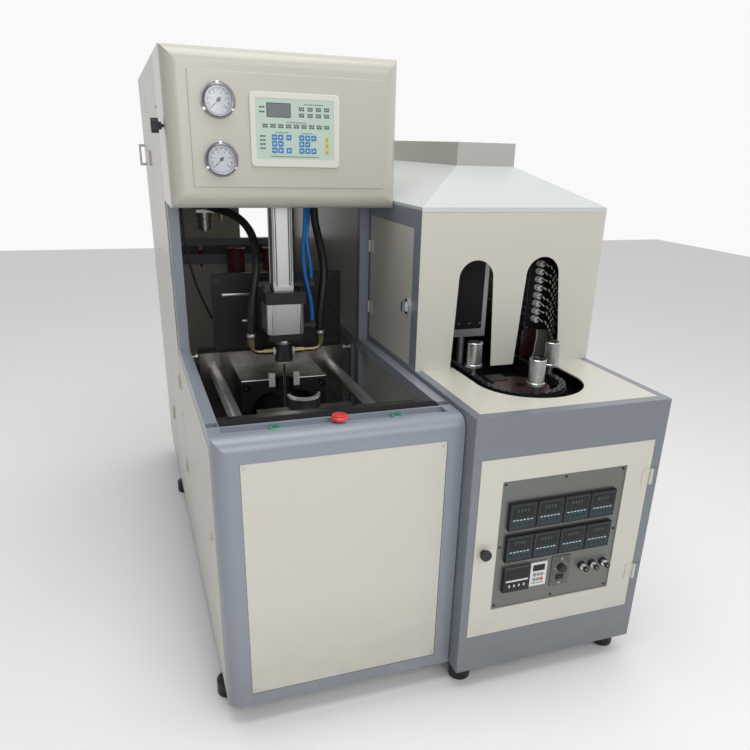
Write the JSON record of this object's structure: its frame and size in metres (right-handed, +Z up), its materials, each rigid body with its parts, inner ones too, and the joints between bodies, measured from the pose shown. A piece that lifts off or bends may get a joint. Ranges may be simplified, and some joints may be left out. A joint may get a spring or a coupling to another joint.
{
  "type": "blow moulding machine",
  "caption": "Stretch blow moulding machine for bottles: an air-driven blower with open mould halves, joined to a preform heater with a lamp tunnel, hood and control door.",
  "frame": {"origin": "on the floor, at the middle of the machine's outline seen from above", "axes": "+Z up, +Y from the operator's side towards the rear, +X towards the heater"},
  "size_m": [1.196, 1.937, 1.59],
  "materials": {
    "cream_paint": "gloss",
    "frame_paint": "satin",
    "head_paint": "satin",
    "heater_paint": "satin",
    "hood_paint": "satin",
    "black_paint": "satin",
    "instrument_plate": "satin",
    "machined_steel": "satin",
    "chrome_steel": "polished",
    "mould_aluminium": "machined",
    "cylinder_aluminium": "anodised",
    "reflector_sheet": "satin",
    "membrane": "matte",
    "black_plastic": "matte",
    "red_plastic": "gloss",
    "green_plastic": "gloss",
    "blue_plastic": "gloss",
    "black_rubber": "matte",
    "brass_fitting": "satin",
    "silencer_paint": "satin",
    "lamp_glass": "clear"
  },
  "bodies": {
    "machine_frame": {"blower_posts": "frame_paint", "blower_side_rails": "frame_paint", "blower_cross_rails": "frame_paint", "front_surround": "frame_paint", "front_panel": "cream_paint", "drip_tray": "black_paint", "cover_panels": "cream_paint", "head_shell": "head_paint", "head_cover": "head_paint", "gauge_cases": "black_plastic", "control_panel": "membrane", "rear_platen": "machined_steel", "rear_mould_half": "mould_aluminium", "neck_inserts": "machined_steel", "clamp_cylinder": "cylinder_aluminium", "blow_station_frame": "black_paint", "stretch_cylinder": "cylinder_aluminium", "seal_cylinder": "cylinder_aluminium", "hose_left": "black_rubber", "hose_right": "black_rubber", "air_tube_front": "blue_plastic", "air_tube_rear": "blue_plastic", "sensor_cable": "black_rubber", "air_filter": "black_plastic", "silencers": "silencer_paint", "feet": "black_rubber", "heater_cabinet": "heater_paint", "heater_table": "cream_paint", "upper_frame": "frame_paint", "arch_panel": "cream_paint", "hood": "hood_paint", "chain_track": "machined_steel", "preform_holders": "mould_aluminium", "reflector_panels": "reflector_sheet", "lamps": "lamp_glass"},
    "clamp_carriage": {"front_platen": "machined_steel", "front_mould_half": "mould_aluminium", "neck_ring": "machined_steel", "tie_bars": "chrome_steel", "crosshead": "machined_steel"},
    "nozzle": {"blow_nozzle": "machined_steel", "nozzle_fittings": "brass_fitting"},
    "stretch_rod": {"stretch_rod": "chrome_steel"},
    "emergency_stop": {"emergency_stop": "red_plastic"},
    "start_button_left": {"start_button_left": "green_plastic"},
    "start_button_right": {"start_button_right": "green_plastic"},
    "left_front_door": {"left_front_door": "cream_paint"},
    "left_rear_door": {"left_rear_door": "cream_paint"},
    "gauge_needle_upper": {"gauge_needle_upper": "black_plastic"},
    "gauge_needle_lower": {"gauge_needle_lower": "black_plastic"},
    "side_knob": {"side_knob": "black_plastic"},
    "heater_door": {"heater_door": "cream_paint", "control_plate": "instrument_plate"},
    "speed_knob": {"speed_knob": "black_plastic"},
    "selector_lever_1": {"selector_lever_1": "chrome_steel"},
    "selector_lever_2": {"selector_lever_2": "chrome_steel"},
    "selector_lever_3": {"selector_lever_3": "chrome_steel"},
    "heater_door_knob": {"heater_door_knob": "black_plastic"},
    "heater_side_door": {"heater_side_door": "cream_paint"},
    "side_door_latch": {"side_door_latch": "black_plastic"}
  },
  "joints": [
    {"name": "clamp_slide", "type": "slide", "parent": "machine_frame", "child": "clamp_carriage", "axis": [0, 1, 0], "range_m": [0, 0.2545]},
    {"name": "nozzle_slide", "type": "slide", "parent": "machine_frame", "child": "nozzle", "axis": [0, 0, -1], "range_m": [0, 0.04], "deforming": ["hose_left", "hose_right"]},
    {"name": "stretch_slide", "type": "slide", "parent": "machine_frame", "child": "stretch_rod", "axis": [0, 0, -1], "range_m": [-0.205, 0.165]},
    {"name": "stop_press", "type": "slide", "parent": "machine_frame", "child": "emergency_stop", "axis": [0, 0, -1], "range_m": [0, 0.004], "stiffness_N_per_m": 1500, "springref_m": -0.002},
    {"name": "start_left_press", "type": "slide", "parent": "machine_frame", "child": "start_button_left", "axis": [0, 0, -1], "range_m": [0, 0.003], "stiffness_N_per_m": 800, "springref_m": -0.002},
    {"name": "start_right_press", "type": "slide", "parent": "machine_frame", "child": "start_button_right", "axis": [0, 0, -1], "range_m": [0, 0.003], "stiffness_N_per_m": 800, "springref_m": -0.002},
    {"name": "left_front_door_hinge", "type": "hinge", "parent": "machine_frame", "child": "left_front_door", "pos_m": [-0.5725, -0.088, 0.4], "axis": [0, 0, -1], "range_deg": [0, 110]},
    {"name": "left_rear_door_hinge", "type": "hinge", "parent": "machine_frame", "child": "left_rear_door", "pos_m": [-0.5725, 0.482, 0.8], "axis": [0, 0, 1], "range_deg": [0, 110]},
    {"name": "upper_needle_turn", "type": "hinge", "parent": "machine_frame", "child": "gauge_needle_upper", "pos_m": [-0.439, -0.3805, 1.472], "axis": [0, 1, 0], "range_deg": [0, 270], "stiffness_Nm_per_rad": 0.001, "springref_deg": -11.46},
    {"name": "lower_needle_turn", "type": "hinge", "parent": "machine_frame", "child": "gauge_needle_lower", "pos_m": [-0.439, -0.3805, 1.338], "axis": [0, 1, 0], "range_deg": [0, 270], "stiffness_Nm_per_rad": 0.001, "springref_deg": -11.46},
    {"name": "side_knob_turn", "type": "hinge", "parent": "machine_frame", "child": "side_knob", "pos_m": [-0.566, -0.3135, 1.411], "axis": [1, 0, 0], "continuous": true},
    {"name": "heater_door_hinge", "type": "hinge", "parent": "machine_frame", "child": "heater_door", "pos_m": [0.5695, -0.949, 0.43], "axis": [0, 0, 1], "range_deg": [0, 110]},
    {"name": "speed_knob_turn", "type": "hinge", "parent": "heater_door", "child": "speed_knob", "pos_m": [0.326, -0.9415, 0.346], "axis": [0, 1, 0], "range_deg": [-135, 135]},
    {"name": "heater_door_knob_turn", "type": "hinge", "parent": "heater_door", "child": "heater_door_knob", "pos_m": [0.085, -0.9445, 0.433], "axis": [0, -1, 0], "range_deg": [0, 90]},
    {"name": "side_door_hinge", "type": "hinge", "parent": "machine_frame", "child": "heater_side_door", "pos_m": [0.0323, -0.1485, 1], "axis": [0, 0, -1], "range_deg": [0, 45]},
    {"name": "side_latch_turn", "type": "hinge", "parent": "heater_side_door", "child": "side_door_latch", "pos_m": [0.036, -0.4795, 0.969], "axis": [-1, 0, 0], "range_deg": [0, 90]},
    {"name": "selector_1_turn", "type": "hinge", "parent": "heater_door", "child": "selector_lever_1", "pos_m": [0.396, -0.9415, 0.335], "axis": [0, 1, 0], "range_deg": [0, 90]},
    {"name": "selector_2_turn", "type": "hinge", "parent": "heater_door", "child": "selector_lever_2", "pos_m": [0.429, -0.9415, 0.335], "axis": [0, 1, 0], "range_deg": [0, 90]},
    {"name": "selector_3_turn", "type": "hinge", "parent": "heater_door", "child": "selector_lever_3", "pos_m": [0.464, -0.9415, 0.335], "axis": [0, 1, 0], "range_deg": [0, 90]}
  ]
}
